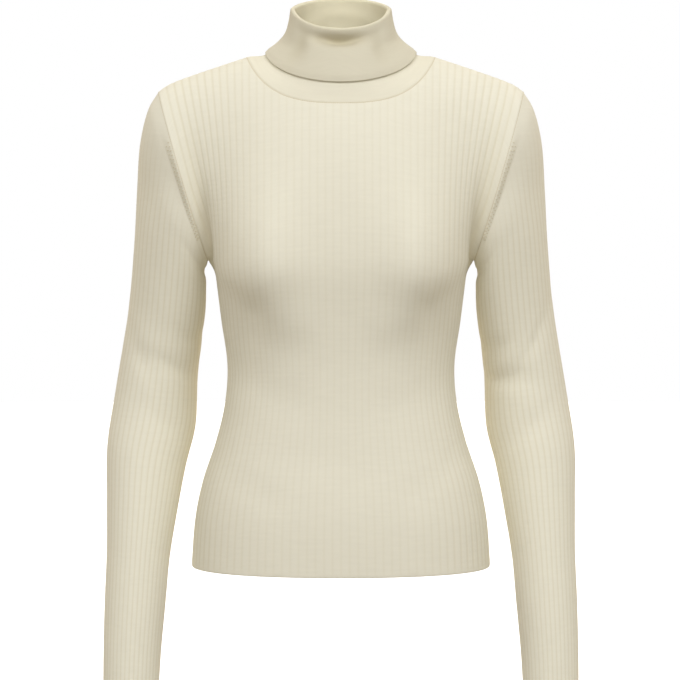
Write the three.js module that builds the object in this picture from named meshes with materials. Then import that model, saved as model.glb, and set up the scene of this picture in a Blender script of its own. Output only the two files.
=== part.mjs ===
// A turtleneck sweater in fine ribbed knit, hollow and filled out as when it is worn.
// Millimetres. X runs across the sweater, Y to its back and Z up, and the front faces -Y.
// The origin is the middle of the neck, level with the inner ends of the shoulders.
import * as THREE from 'three';

// Cloth
const RIB_WALL = 1.5; // ribbed knit, from its plain inside to the bottom of a groove
const RIB_HEIGHT = 0.8; // how far a rib stands above the grooves
const COLLAR_WALL = 1.8; // plain knit of the collar
const SEAM_GAP = 0.3; // between two pieces that are linked together
const PANEL_RIBS = 48;
const SLEEVE_RIBS = 40;
const INSIDE_STRIDE = 4; // outside points for each point of the plain inside

// Armholes: an oval in a slanted plane, from the armpit up to the shoulder's tip. Just below
// the armpit the side seam flares out to meet the sleeve
const ARMPIT = new THREE.Vector3(140, 0, -209);
const ARMPIT_FLARE = { out: 6.4, down: 18 };
const SHOULDER_TIP = new THREE.Vector3(191, 0, -32);
const ARMHOLE_HALF_DEPTH = 48;
const ARMHOLE_ROWS = 8;
const ARMPIT_LEAN = 0.9; // how much both walls lean away from the seam in the armpit

// Shoulder line, as it would run on to the middle of the neck: it slopes evenly, rounds over
// the neck and drops a little more where it meets the sleeve
const SHOULDER = { peak: 43.6, slope: 0.36, rounding: 50, tipDrop: 4.5 };

// Neck opening, an oval with rather square corners as seen from above
const NECK = { half: 99, front: 75, back: 46, squareness: 2.2 };

// Bust, a soft rise on each side of the front
const BUST = { x: 84, z: -218, rise: 22, inwards: 40, outwards: 80, above: 84, below: 48 };
// The hollow under each side of the bust, towards the waist
const HOLLOW = { x: 112, z: -297, depth: 8, width: 28, height: 42 };

// Sections of the body from the hem to the armpits: half of the width, and the depths
// of the front and the back from the side seams
const BODY_SQUARENESS = 2.3;
const BODY = [
  { z: -531, half: 157.8, front: 99, back: 112 },
  { z: -480, half: 153.6, front: 99, back: 111 },
  { z: -440, half: 145.2, front: 96, back: 103 },
  { z: -400, half: 131.8, front: 92, back: 92 },
  { z: -360, half: 122.2, front: 90, back: 83.5 },
  { z: -318, half: 119.6, front: 91, back: 81 },
  { z: -272, half: 126, front: 95.5, back: 86.5 },
  { z: -232, half: 131, front: 101, back: 92.5 },
  { z: -217, half: 132.8, front: 102.6, back: 93.8 },
  { z: -209, half: 133.6, front: 103, back: 94 },
];

// Rings of the sleeve from the armhole to the cuff: where each crosses the sleeve's outer
// and inner outline, the Y of its middle, and half of its depth
const SLEEVE = [
  { outerX: 191, outerZ: -32, innerX: 140, innerZ: -209, middle: 0, depth: 48 },
  { outerX: 203, outerZ: -52, innerX: 141.8, innerZ: -217, middle: 3, depth: 49 },
  { outerX: 212, outerZ: -88, innerX: 142.8, innerZ: -235, middle: 9, depth: 49 },
  { outerX: 216, outerZ: -135, innerX: 144.2, innerZ: -262, middle: 17.5, depth: 48 },
  { outerX: 220, outerZ: -195, innerX: 148.8, innerZ: -296, middle: 27, depth: 47 },
  { outerX: 227, outerZ: -262, innerX: 153.8, innerZ: -336, middle: 34.5, depth: 46 },
  { outerX: 240.5, outerZ: -345, innerX: 156, innerZ: -386, middle: 33.5, depth: 46 },
  { outerX: 249, outerZ: -405, innerX: 165.8, innerZ: -428, middle: 23, depth: 44 },
  { outerX: 248.5, outerZ: -460, innerX: 174, innerZ: -474, middle: 9.5, depth: 40 },
  { outerX: 247.5, outerZ: -515, innerX: 181.3, innerZ: -522, middle: -4, depth: 36 },
  { outerX: 248.6, outerZ: -565, innerX: 185, innerZ: -569, middle: -16.5, depth: 32.5 },
  { outerX: 249, outerZ: -612, innerX: 188.7, innerZ: -614, middle: -27, depth: 29.5 },
  { outerX: 248.8, outerZ: -652, innerX: 190.8, innerZ: -652, middle: -35, depth: 27.5 },
];

// The outer layer of the collar, from its free edge up to the fold. Each ring is an oval with
// its own height at the sides, the front and the back
const TURN_DOWN = [
  { half: 79.8, front: 72, back: 53.5, sideZ: 9.5, frontZ: -26, backZ: 12.5 },
  { half: 67.4, front: 67, back: 52.6, sideZ: 18.3, frontZ: -12, backZ: 26 },
  { half: 58, front: 61.3, back: 51.5, sideZ: 29, frontZ: 3, backZ: 40 },
  { half: 54, front: 56.2, back: 50.2, sideZ: 42, frontZ: 16, backZ: 54.5 },
  { half: 52.2, front: 52.5, back: 49, sideZ: 53.6, frontZ: 27.5, backZ: 67.8 },
];
const LAYER_SPACING = 3.4; // between the middles of the collar's two layers
const COLLAR_COLUMNS = 40;
const COLLAR_STEPS = { band: 2, stand: 4, fold: 3 };
const NECK_SEAM_GAP = 0.8; // the collar's straight facets need a little more than other seams
const SIDE_SOFTNESS = 0.1; // rounds the collar's edges where its front and back halves meet

const ARC_STEPS = 240; // to measure along a body section
const NEARBY = 1e-3; // how far off the points lie that give a direction

const ribKnit = { color: 0xe3dcc9, roughness: 0.95, metalness: 0 };
const plainKnit = { color: 0xddd5c1, roughness: 0.95, metalness: 0 };

// A table's column at a place, on a smooth curve through its rows. The place is counted in
// rows, or measured by another column when that is named
function smooth(table, column, place, key) {
  const at = (row) => (key ? table[row][key] : row);
  let row = 0;
  while (row < table.length - 2 && place > at(row + 1)) row += 1;
  const slope = (middle) => {
    const before = Math.max(middle - 1, 0);
    const after = Math.min(middle + 1, table.length - 1);
    return (table[after][column] - table[before][column]) / (at(after) - at(before));
  };
  const span = at(row + 1) - at(row);
  const f = (place - at(row)) / span;
  const eased = f * f * (3 - 2 * f);
  const bend = f * (1 - f) * ((1 - f) * slope(row) - f * slope(row + 1));
  return table[row][column] * (1 - eased) + table[row + 1][column] * eased + span * bend;
}

// Half of a body section, from one side seam to the other, as a function of u from -1 to 1
// that moves evenly along its arc. It gives x and the depth
const sections = new Map();
function bodySection(side, z) {
  const name = `${side} ${z}`;
  if (!sections.has(name)) {
    const half = smooth(BODY, 'half', z, 'z');
    const depth = smooth(BODY, side < 0 ? 'front' : 'back', z, 'z');
    const power = 2 / BODY_SQUARENESS;
    const arc = [];
    for (let i = 0; i <= ARC_STEPS; i += 1) {
      const angle = (Math.PI / 2) * (i / ARC_STEPS);
      const x = half * Math.sin(angle) ** power;
      const y = i === ARC_STEPS ? 0 : depth * Math.cos(angle) ** power;
      const length = i ? arc[i - 1].length + Math.hypot(x - arc[i - 1].x, y - arc[i - 1].y) : 0;
      arc.push({ x, y, length });
    }
    sections.set(name, arc);
  }
  const arc = sections.get(name);
  const total = arc[arc.length - 1].length;
  return (u) => {
    const wanted = Math.min(Math.abs(u), 1) * total;
    let i = 1;
    while (i < arc.length - 1 && arc[i].length < wanted) i += 1;
    const f = (wanted - arc[i - 1].length) / (arc[i].length - arc[i - 1].length);
    const x = arc[i - 1].x + (arc[i].x - arc[i - 1].x) * f;
    return { x: Math.sign(u) * x, depth: arc[i - 1].y + (arc[i].y - arc[i - 1].y) * f };
  };
}

// How far the neck opening lies from the shoulder line at an x, towards the front or the back
function neckDepth(side, x) {
  const share = Math.min(Math.abs(x) / NECK.half, 1);
  const depth = side < 0 ? NECK.front : NECK.back;
  return depth * (1 - share ** NECK.squareness) ** (1 / NECK.squareness);
}

// A point of the front (side -1) or the back (side 1), before the neck is cut out of it. u runs
// from one side seam to the other, and t from 0 at the hem to 1 at the armpits and 2 on the
// shoulder line. Above the armpits each column is a quarter of an upright oval, and towards
// the armhole it bends over to the armhole's own oval
function bodySurface(side, u, t) {
  const w = Math.abs(u);
  const z = t < 1 ? BODY[0].z + t * (ARMPIT.z - BODY[0].z) : ARMPIT.z;
  const section = bodySection(side, z)(u);
  const flare = ARMPIT_FLARE.out * Math.max(1 - (ARMPIT.z - z) / ARMPIT_FLARE.down, 0) ** 2;
  section.x += Math.sign(u) * flare * w ** 10;
  const point = new THREE.Vector3(section.x, side * section.depth, z);
  if (t > 1) {
    const turn = (Math.PI / 2) * (t - 1);
    const across = (1 - Math.cos(2 * turn)) / 2;
    const topX = SHOULDER_TIP.x * u;
    const slope = SHOULDER.slope * Math.hypot(topX, SHOULDER.rounding);
    const ridge = SHOULDER.peak - slope - SHOULDER.tipDrop * w ** 24;
    const nearArmhole = w ** 4;
    point.x += (topX - section.x) * across;
    point.y = side * section.depth * Math.cos(turn);
    point.y += side * ARMHOLE_HALF_DEPTH * Math.sin(2 * turn) * nearArmhole;
    point.z += (ridge - ARMPIT.z) * Math.sin(turn);
    point.z += (SHOULDER_TIP.z - ARMPIT.z) * (across - Math.sin(turn)) * nearArmhole;
  }
  if (side < 0) {
    const above = point.z > BUST.z ? BUST.above : BUST.below;
    const off = Math.abs(point.x) - BUST.x;
    const aside = off / (off > 0 ? BUST.outwards : BUST.inwards);
    const bell = Math.exp(-(aside ** 2) - ((point.z - BUST.z) / above) ** 2);
    const across = (Math.abs(point.x) - HOLLOW.x) / HOLLOW.width;
    const dip = Math.exp(-(across ** 2) - ((point.z - HOLLOW.z) / HOLLOW.height) ** 2);
    point.y -= (BUST.rise * bell - HOLLOW.depth * dip) * (1 - w ** 12);
  }
  point.y += (side * SEAM_GAP) / 2;
  return point;
}

// Where a row of a panel lies on its column, as the surface's t. v is 0 at the hem, 1 at the
// armpits and 2 at the panel's top edge, which is the neck opening or the shoulder line
function rowPlace(side, u, v) {
  const opening = neckDepth(side, SHOULDER_TIP.x * u);
  if (v <= 1 || opening === 0) return v;
  const { depth } = bodySection(side, ARMPIT.z)(u);
  return 1 + (v - 1) * (Math.acos(opening / depth) / (Math.PI / 2));
}

function bodyPoint(side, u, v) {
  return bodySurface(side, u, rowPlace(side, u, v));
}

// The outward direction of a surface at (u, v), worked out from points close by
function outward(surface, u, v, bounds) {
  const low = (value, limit) => Math.max(value - NEARBY, limit);
  const high = (value, limit) => Math.min(value + NEARBY, limit);
  const [u0, u1, v0, v1] = bounds;
  const across = surface(high(u, u1), v).sub(surface(low(u, u0), v));
  const up = surface(u, high(v, v1)).sub(surface(u, low(v, v0)));
  return across.cross(up).normalize();
}

// The armhole's plane, for the arm on the +X side: up the armhole, and out of it into the sleeve
const armholeUp = SHOULDER_TIP.clone().sub(ARMPIT);
const armholeHalf = armholeUp.length() / 2;
armholeUp.normalize();
const intoSleeve = new THREE.Vector3(armholeUp.z, 0, -armholeUp.x);

// Which way the cloth faces along the armhole seam, at an angle counted from the armpit over
// the front. Around the armpit both pieces lean away from each other, as in the crease there
function armholeFacing(angle, lean) {
  const facing = armholeUp.clone().multiplyScalar(-Math.cos(angle) / armholeHalf);
  facing.y = -Math.sin(angle) / ARMHOLE_HALF_DEPTH;
  facing.normalize();
  const low = ((1 + Math.cos(angle)) / 2) ** 3;
  return facing.addScaledVector(intoSleeve, lean * low).normalize();
}

// Which way a panel's cloth faces. On the side seams and shoulder seams it has no Y, so that
// the front and the back meet edge to edge
function bodyFacing(side, u, v) {
  const w = Math.abs(u);
  if (w === 1 && v >= 1) {
    const facing = armholeFacing(Math.PI * (v - 1), ARMPIT_LEAN);
    return new THREE.Vector3(facing.x * Math.sign(u), -side * facing.y, facing.z);
  }
  const surface = (a, b) => bodySurface(side, a, b);
  const facing = outward(surface, u, rowPlace(side, u, v), [-1, 1, 0, 2]).multiplyScalar(-side);
  const onSeam = w === 1 || (v === 2 && neckDepth(side, SHOULDER_TIP.x * u) === 0);
  if (onSeam) facing.y = 0;
  return facing.normalize();
}

// A point of the +X sleeve. The angle is counted from the inner outline over the front, and
// place is counted in rows of the table
function sleevePoint(angle, place) {
  const at = (column) => smooth(SLEEVE, column, place);
  const outer = new THREE.Vector3(at('outerX'), 0, at('outerZ'));
  const inner = new THREE.Vector3(at('innerX'), 0, at('innerZ'));
  const point = outer.clone().add(inner).multiplyScalar(0.5);
  point.addScaledVector(outer.sub(inner), -Math.cos(angle) / 2);
  point.y = at('middle') - at('depth') * Math.sin(angle);
  return point.addScaledVector(intoSleeve, SEAM_GAP * Math.max(1 - place, 0));
}

// The sleeve's first ring has the same straight facets as the panels' armhole edges
function sleeveStart(angle) {
  const facet = Math.PI / ARMHOLE_ROWS;
  const k = Math.floor(angle / facet + NEARBY);
  const from = sleevePoint(k * facet, 0);
  return from.lerp(sleevePoint((k + 1) * facet, 0), angle / facet - k);
}

// The neck seam on the body, at an angle counted from the middle of the front towards +X
function neckSeam(angle) {
  const side = Math.cos(angle) > 0 ? -1 : 1;
  const across = Math.sign(Math.sin(angle)) * Math.abs(Math.sin(angle)) ** (2 / NECK.squareness);
  return { side, u: (NECK.half * across) / SHOULDER_TIP.x };
}

// A point of the collar's outer layer, with h from 0 at its free edge to 1 at the fold
function turnDown(angle, h) {
  const at = (column) => smooth(TURN_DOWN, column, h * (TURN_DOWN.length - 1));
  const forward = Math.cos(angle);
  const towards = forward > 0 ? 'front' : 'back';
  const soft = (value) => Math.hypot(value, SIDE_SOFTNESS) - SIDE_SOFTNESS;
  const lift = soft(forward) / soft(1);
  return new THREE.Vector3(
    at('half') * Math.sin(angle),
    -at(towards) * forward,
    at('sideZ') + (at(`${towards}Z`) - at('sideZ')) * lift,
  );
}

// The collar's line at an angle, through the middle of its cloth: a band that rises from the
// neck seam, a stand just inside the outer layer, a half-round fold, and the outer layer down
// to its free edge
function collarLine(angle) {
  const facing = (h) => outward(turnDown, angle, h, [-Infinity, Infinity, 0, 1]);
  const stand = (h) => turnDown(angle, h).addScaledVector(facing(h), -LAYER_SPACING);
  const seam = neckSeam(angle);
  const start = bodyPoint(seam.side, seam.u, 2);
  const cloth = bodyFacing(seam.side, seam.u, 2);
  const [next, before] = [angle + NEARBY, angle - NEARBY].map((near) => {
    const { side, u } = neckSeam(near);
    return bodyPoint(side, u, 2);
  });
  const inward = cloth.clone().cross(next.sub(before)).normalize();
  start.addScaledVector(cloth, -RIB_WALL / 2).addScaledVector(inward, NECK_SEAM_GAP);
  const foot = stand(0);
  const footDirection = stand(NEARBY).sub(foot).normalize();
  const reach = start.distanceTo(foot);
  const band = new THREE.CubicBezierCurve3(
    start,
    start.clone().addScaledVector(inward, reach / 3),
    foot.clone().addScaledVector(footDirection, -reach / 3),
    foot,
  );
  const line = [];
  for (let i = 0; i < COLLAR_STEPS.band; i += 1) line.push(band.getPoint(i / COLLAR_STEPS.band));
  for (let i = 0; i < COLLAR_STEPS.stand; i += 1) line.push(stand(i / COLLAR_STEPS.stand));
  const top = turnDown(angle, 1);
  const out = facing(1).multiplyScalar(LAYER_SPACING / 2);
  const up = top.clone().sub(turnDown(angle, 1 - NEARBY)).setLength(LAYER_SPACING / 2);
  for (let i = 0; i <= COLLAR_STEPS.fold; i += 1) {
    const turn = (Math.PI * i) / COLLAR_STEPS.fold;
    const point = top.clone().sub(out).addScaledVector(out, -Math.cos(turn));
    line.push(point.addScaledVector(up, Math.sin(turn)));
  }
  for (let i = COLLAR_STEPS.stand - 1; i >= 0; i -= 1) {
    line.push(turnDown(angle, i / COLLAR_STEPS.stand));
  }
  return line;
}

// Faces between two rows of points, the same on the left half as on the right. Where one row
// is finer, each span of the coarser row takes a fan of the finer row's spans
function stitch(faces, lower, upper, ring) {
  const spans = ring ? 0 : 1;
  const count = Math.min(lower.length, upper.length) - spans;
  const below = (lower.length - spans) / count;
  const above = (upper.length - spans) / count;
  const a = (i) => lower[i % lower.length];
  const b = (i) => upper[i % upper.length];
  for (let m = 0; m < count; m += 1) {
    const low = m * below;
    const high = m * above;
    if (below >= above) {
      const middle = below === above && 2 * m >= count ? low + 1 : low + Math.floor(below / 2);
      for (let i = low; i < middle; i += 1) faces.push([a(i), a(i + 1), b(high)]);
      faces.push([a(middle), b(high + 1), b(high)]);
      for (let i = middle; i < low + below; i += 1) faces.push([a(i), a(i + 1), b(high + 1)]);
    } else {
      const middle = high + Math.floor(above / 2);
      for (let i = high; i < middle; i += 1) faces.push([a(low), b(i + 1), b(i)]);
      faces.push([a(low), a(low + 1), b(middle)]);
      for (let i = middle; i < high + above; i += 1) faces.push([a(low + 1), b(i + 1), b(i)]);
    }
  }
}

// A piece of cloth as one closed wall: rows of outside points, then rows of inside points, both
// from the bottom up. A tube's rows are rings, and an open panel's side edges are closed too
function cloth(name, outside, inside, { ring, turned, finish }) {
  const points = [];
  const number = (row) => row.map((point) => points.push(point) - 1);
  const outer = outside.map(number);
  const inner = inside.map(number);
  const faces = [];
  const loop = [...outer, ...inner.slice().reverse()];
  loop.forEach((row, i) => stitch(faces, row, loop[(i + 1) % loop.length], ring));
  if (!ring) {
    for (let r = 0; r < outer.length - 1; r += 1) {
      const left = [outer[r], outer[r + 1], inner[r + 1], inner[r]].map((row) => row[0]);
      const right = [outer[r], outer[r + 1], inner[r + 1], inner[r]].map((row) => row[row.length - 1]);
      faces.push([left[0], left[1], left[2]], [left[0], left[2], left[3]]);
      faces.push([right[2], right[1], right[0]], [right[3], right[2], right[0]]);
    }
  }
  const geometry = new THREE.BufferGeometry().setFromPoints(points);
  geometry.setIndex(faces.flatMap((face) => (turned ? face.slice().reverse() : face)));
  geometry.computeVertexNormals();
  const mesh = new THREE.Mesh(geometry, new THREE.MeshStandardMaterial(finish));
  mesh.name = name;
  return mesh;
}

// A panel's ribs run up all of it, and die away at the hem's edge, beside the armholes and
// along the seams
function panel(name, side) {
  const columns = 2 * PANEL_RIBS;
  const heights = BODY.map((row) => (row.z - BODY[0].z) / (ARMPIT.z - BODY[0].z));
  for (let i = 1; i <= ARMHOLE_ROWS; i += 1) heights.push(1 + i / ARMHOLE_ROWS);
  const outside = [];
  const inside = [];
  heights.forEach((v, r) => {
    const last = r === heights.length - 1;
    const rib = RIB_HEIGHT * (r === 0 || last ? 0.4 : 1);
    const outerRow = [];
    const innerRow = [];
    for (let c = 0; c <= columns; c += 1) {
      const u = (2 * c) / columns - 1;
      const point = bodyPoint(side, u, v);
      const facing = bodyFacing(side, u, v);
      const edge = Math.min(c, columns - c) < 3 && v >= 1;
      const raised = c % 2 === 1 && !edge ? rib : 0;
      outerRow.push(point.clone().addScaledVector(facing, raised));
      if (last || c % INSIDE_STRIDE === 0) innerRow.push(point.addScaledVector(facing, -RIB_WALL));
    }
    outside.push(outerRow);
    inside.push(innerRow);
  });
  return cloth(name, outside, inside, { ring: false, turned: side > 0, finish: ribKnit });
}

// A sleeve is smooth over the shoulder, and its ribs grow from there down to the cuff
function sleeve(name, arm) {
  const columns = 2 * SLEEVE_RIBS;
  const outside = [];
  const inside = [];
  for (let r = SLEEVE.length - 1; r >= 0; r -= 1) {
    const last = r === SLEEVE.length - 1;
    const rib = RIB_HEIGHT * (last ? 0.4 : Math.min(r / 3, 1));
    const outerRow = [];
    const innerRow = [];
    for (let c = 0; c < columns; c += 1) {
      const angle = (2 * Math.PI * c) / columns;
      const point = r ? sleevePoint(angle, r) : sleeveStart(angle);
      const facing = r
        ? outward(sleevePoint, angle, r, [-Infinity, Infinity, 0, SLEEVE.length - 1]).negate()
        : armholeFacing(angle, -ARMPIT_LEAN);
      const place = (outwards) => {
        const moved = point.clone().addScaledVector(facing, outwards);
        return moved.setX(moved.x * arm);
      };
      outerRow.push(place(c % 2 ? rib : 0));
      if (c % INSIDE_STRIDE === 0) innerRow.push(place(-RIB_WALL));
    }
    outside.push(outerRow);
    inside.push(innerRow);
  }
  return cloth(name, outside, inside, { ring: true, turned: arm < 0, finish: ribKnit });
}

// The collar's wall lies half on each side of its line
function collar(name) {
  const lines = [];
  for (let c = 0; c < COLLAR_COLUMNS; c += 1) lines.push(collarLine((2 * Math.PI * c) / COLLAR_COLUMNS));
  const outside = [];
  const inside = [];
  lines[0].forEach((_, r) => {
    const layer = (offset) => lines.map((line, c) => {
      const next = lines[(c + 1) % COLLAR_COLUMNS][r];
      const before = lines[(c + COLLAR_COLUMNS - 1) % COLLAR_COLUMNS][r];
      const up = line[Math.min(r + 1, line.length - 1)].clone().sub(line[Math.max(r - 1, 0)]);
      const facing = next.clone().sub(before).cross(up).normalize();
      return line[r].clone().addScaledVector(facing, offset * (COLLAR_WALL / 2));
    });
    outside.push(layer(1));
    inside.push(layer(-1));
  });
  return cloth(name, outside, inside, { ring: true, turned: false, finish: plainKnit });
}

const group = new THREE.Group();
group.add(panel('front', -1), panel('back', 1));
group.add(sleeve('sleeve_left', 1), sleeve('sleeve_right', -1));
group.add(collar('collar'));
export default group;
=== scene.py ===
# %% [markdown]
# # A turtleneck sweater in fine ribbed knit
# The sweater is five knitted pieces linked together: a front and a back, two set-in sleeves and
# a collar that stands up, folds over softly and comes down again outside itself. It is shown
# filled out, as when it is worn, and hollow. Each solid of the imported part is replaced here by
# the same form with its real ribs, its edges and its seams.

import bpy
import numpy as np
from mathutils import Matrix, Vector


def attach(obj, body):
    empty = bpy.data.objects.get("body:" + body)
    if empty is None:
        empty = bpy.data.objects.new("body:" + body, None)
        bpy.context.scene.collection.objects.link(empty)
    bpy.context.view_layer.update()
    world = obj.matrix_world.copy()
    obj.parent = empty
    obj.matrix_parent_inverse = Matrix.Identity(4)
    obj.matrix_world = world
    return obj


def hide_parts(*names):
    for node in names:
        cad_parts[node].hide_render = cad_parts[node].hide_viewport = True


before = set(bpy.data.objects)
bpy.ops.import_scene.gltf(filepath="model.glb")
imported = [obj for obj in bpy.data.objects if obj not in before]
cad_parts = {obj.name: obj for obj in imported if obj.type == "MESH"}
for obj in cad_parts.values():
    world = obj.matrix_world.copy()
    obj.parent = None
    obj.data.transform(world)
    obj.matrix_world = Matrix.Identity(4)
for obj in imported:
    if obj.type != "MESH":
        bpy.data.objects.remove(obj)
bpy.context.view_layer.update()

# %% [markdown]
# ## Camera
# A product photograph of a garment is taken with a long lens, so that its sides stay parallel.
# The camera stands 2.4 m away, level with the chest, and tips down a little to take in the
# cuffs. It could be set by eye, but the width of the view at that distance gives the lens.

# %% Camera
DISTANCE = 2.4
EYE_HEIGHT = -0.18
AIM = Vector((-0.001, 0, -0.293))
VIEW_WIDTH = 0.7170
SENSOR = 36

scene = bpy.context.scene
lens = bpy.data.cameras.new("camera")
lens.sensor_width = SENSOR
lens.lens = SENSOR * DISTANCE / VIEW_WIDTH
camera = bpy.data.objects.new("camera", lens)
camera.location = (AIM.x, -DISTANCE, EYE_HEIGHT)
camera.rotation_euler = (AIM - camera.location).to_track_quat("-Z", "Y").to_euler()
scene.collection.objects.link(camera)
scene.camera = camera
print(f"lens {lens.lens:.0f} mm")

# %% [markdown]
# ## Materials, in general
# Colours are written as the sRGB values that a screen shows, and one function turns them to the
# linear values that Blender computes with. One more function adds a node with its settings and
# links, so that each material reads as a list of what it does.


# %% Colours and nodes
def colour(text):
    """sRGB hex to linear: each channel c is c / 12.92 if it is dark, else ((c + 0.055) / 1.055)^2.4."""
    channels = np.array([int(text[i : i + 2], 16) for i in (1, 3, 5)]) / 255
    linear = np.where(channels < 0.04045, channels / 12.92, ((channels + 0.055) / 1.055) ** 2.4)
    return (*linear, 1.0)


def add(tree, kind, inputs=None, **settings):
    """A node of a kind, with its own settings, and inputs that are values or other sockets."""
    made = tree.nodes.new("ShaderNode" + kind)
    for name, value in settings.items():
        setattr(made, name, value)
    for socket, value in (inputs or {}).items():
        if isinstance(value, bpy.types.NodeSocket):
            tree.links.new(value, made.inputs[socket])
        else:
            made.inputs[socket].default_value = value
    return made


def empty_material(name):
    """A material with nothing in it but its output."""
    material = bpy.data.materials.new(name)
    material.use_nodes = True
    material.node_tree.nodes.clear()
    return material, add(material.node_tree, "OutputMaterial")


# %% [markdown]
# ## Studio
# The light is that of a white studio: two large soft boxes high on either side of the camera
# light the top of each form, a small one at the camera's height shines into the neck, and walls
# fill the shadows from everywhere. The walls are the world's colour. Behind the sweater is a
# bright backdrop, which lights its outlines and shows as pure white to the camera. The walls in
# front are darker, so that shadows keep their depth. The floor is a plain white disc.

# %% Light and floor
WALLS, BACKDROP, WALLS_COLOUR = 0.36, 1.1, "#FFF3E0"
SOFT_BOXES = {
    "left": ((3.5, -5.0, 5.6), (3.4, 3.4), 258, "#F8FBFF"),
    "right": ((-2.7, -5.0, 5.6), (3.4, 3.4), 205, "#F8FBFF"),
    "front": ((0, -4.5, 1.0), (2.2, 1.6), 42, "#F8FBFF"),
}
scene.view_settings.view_transform = "Standard"

BACKDROP_STARTS, BACKDROP_FULL = -0.1, 0.6
world = bpy.data.worlds.new("studio")
world.use_nodes = True
world.node_tree.nodes.clear()
walls = world.node_tree
looks = add(walls, "LightPath").outputs["Is Camera Ray"]
towards = add(walls, "SeparateXYZ", {0: add(walls, "TexCoord").outputs["Generated"]}).outputs["Y"]
strength = add(walls, "MapRange", {
    "Value": towards, "From Min": BACKDROP_STARTS, "From Max": BACKDROP_FULL,
    "To Min": WALLS, "To Max": BACKDROP,
}, interpolation_type="SMOOTHSTEP")
lit = add(walls, "Background", {"Color": colour(WALLS_COLOUR), "Strength": strength.outputs[0]}).outputs[0]
seen = add(walls, "Background", {"Color": colour("#FFFFFF"), "Strength": 1.0}).outputs[0]
shown = add(walls, "MixShader", {"Fac": looks, 1: lit, 2: seen}).outputs[0]
add(walls, "OutputWorld", {"Surface": shown})
scene.world = world

for name, (place, (width, height), power, tint) in SOFT_BOXES.items():
    soft_box = bpy.data.lights.new(name, "AREA")
    soft_box.shape, soft_box.size, soft_box.size_y = "RECTANGLE", width, height
    soft_box.energy = power
    soft_box.color = colour(tint)[:3]
    lamp = bpy.data.objects.new(name, soft_box)
    lamp.location = place
    lamp.rotation_euler = (AIM - lamp.location).to_track_quat("-Z", "Y").to_euler()
    scene.collection.objects.link(lamp)

FLOOR_HEIGHT = -0.80
FLOOR_RADIUS = 6.0
turn = np.linspace(0, 2 * np.pi, 97)[:-1]
rim = np.stack([FLOOR_RADIUS * np.cos(turn), FLOOR_RADIUS * np.sin(turn), 0 * turn + FLOOR_HEIGHT], -1)
disc = bpy.data.meshes.new("floor")
disc.from_pydata(rim.tolist(), [], [list(range(len(rim)))])
floor = bpy.data.objects.new("floor", disc)
scene.collection.objects.link(floor)
paper, paper_output = empty_material("matt white studio paper")
sheet = add(paper.node_tree, "BsdfPrincipled", {
    "Base Color": colour("#F6F6F6"),
    "Roughness": 0.9,
    "Emission Color": colour("#FFFFFF"),
    "Emission Strength": 0.9,
})
paper.node_tree.links.new(sheet.outputs[0], paper_output.inputs["Surface"])
disc.materials.append(paper)
floor.visible_diffuse = floor.visible_glossy = floor.visible_shadow = False
print("studio:", len(SOFT_BOXES), "soft boxes, walls", WALLS)

# %% [markdown]
# ## Sizes
# All shapes are worked out in millimetres, from the same measurements and formulas as the part's
# own source, and become metres when a mesh is made. X runs across the sweater, Y to its back and
# Z up, and the origin is the middle of the neck, level with the inner ends of the shoulders.


# %% Measurements
def table(names, *rows):
    """The columns of a table of measurements, by name."""
    return dict(zip(names.split(), np.array(rows, float).T))


RIB_WALL = 1.5
COLLAR_WALL = 1.8
SEAM_GAP = 0.3
PANEL_RIBS = 48
SLEEVE_RIBS = 40
ARMPIT = np.array([140.0, 0, -209])
FLARE_OUT, FLARE_DOWN = 6.4, 18
SHOULDER_TIP = np.array([191.0, 0, -32])
ARMHOLE_HALF_DEPTH = 48
ARMPIT_LEAN = 0.9
SHOULDER_PEAK, SHOULDER_SLOPE, SHOULDER_ROUNDING, TIP_DROP = 43.6, 0.36, 50, 4.5
NECK_HALF, NECK_FRONT, NECK_BACK, NECK_SQUARENESS = 99, 75, 46, 2.2
BUST_X, BUST_Z, BUST_RISE = 84, -218, 22
BUST_INWARDS, BUST_OUTWARDS, BUST_ABOVE, BUST_BELOW = 40, 80, 84, 48
HOLLOW_X, HOLLOW_Z, HOLLOW_DEPTH, HOLLOW_WIDTH, HOLLOW_HEIGHT = 112, -297, 8, 28, 42
BODY_SQUARENESS = 2.3
BODY = table(
    "z half front back",
    (-531, 157.8, 99, 112),
    (-480, 153.6, 99, 111),
    (-440, 145.2, 96, 103),
    (-400, 131.8, 92, 92),
    (-360, 122.2, 90, 83.5),
    (-318, 119.6, 91, 81),
    (-272, 126, 95.5, 86.5),
    (-232, 131, 101, 92.5),
    (-217, 132.8, 102.6, 93.8),
    (-209, 133.6, 103, 94),
)
SLEEVE = table(
    "outer_x outer_z inner_x inner_z middle depth",
    (191, -32, 140, -209, 0, 48),
    (203, -52, 141.8, -217, 3, 49),
    (212, -88, 142.8, -235, 9, 49),
    (216, -135, 144.2, -262, 17.5, 48),
    (220, -195, 148.8, -296, 27, 47),
    (227, -262, 153.8, -336, 34.5, 46),
    (240.5, -345, 156, -386, 33.5, 46),
    (249, -405, 165.8, -428, 23, 44),
    (248.5, -460, 174, -474, 9.5, 40),
    (247.5, -515, 181.3, -522, -4, 36),
    (248.6, -565, 185, -569, -16.5, 32.5),
    (249, -612, 188.7, -614, -27, 29.5),
    (248.8, -652, 190.8, -652, -35, 27.5),
)
TURN_DOWN = table(
    "half front back side_z front_z back_z",
    (79.8, 72, 53.5, 9.5, -26, 12.5),
    (67.4, 67, 52.6, 18.3, -12, 26),
    (58, 61.3, 51.5, 29, 3, 40),
    (54, 56.2, 50.2, 42, 16, 54.5),
    (52.2, 52.5, 49, 53.6, 27.5, 67.8),
)
LAYER_SPACING = 3.4
NECK_SEAM_GAP = 0.8
SIDE_SOFTNESS = 0.1
FRONT, BACK = -1, 1


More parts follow.
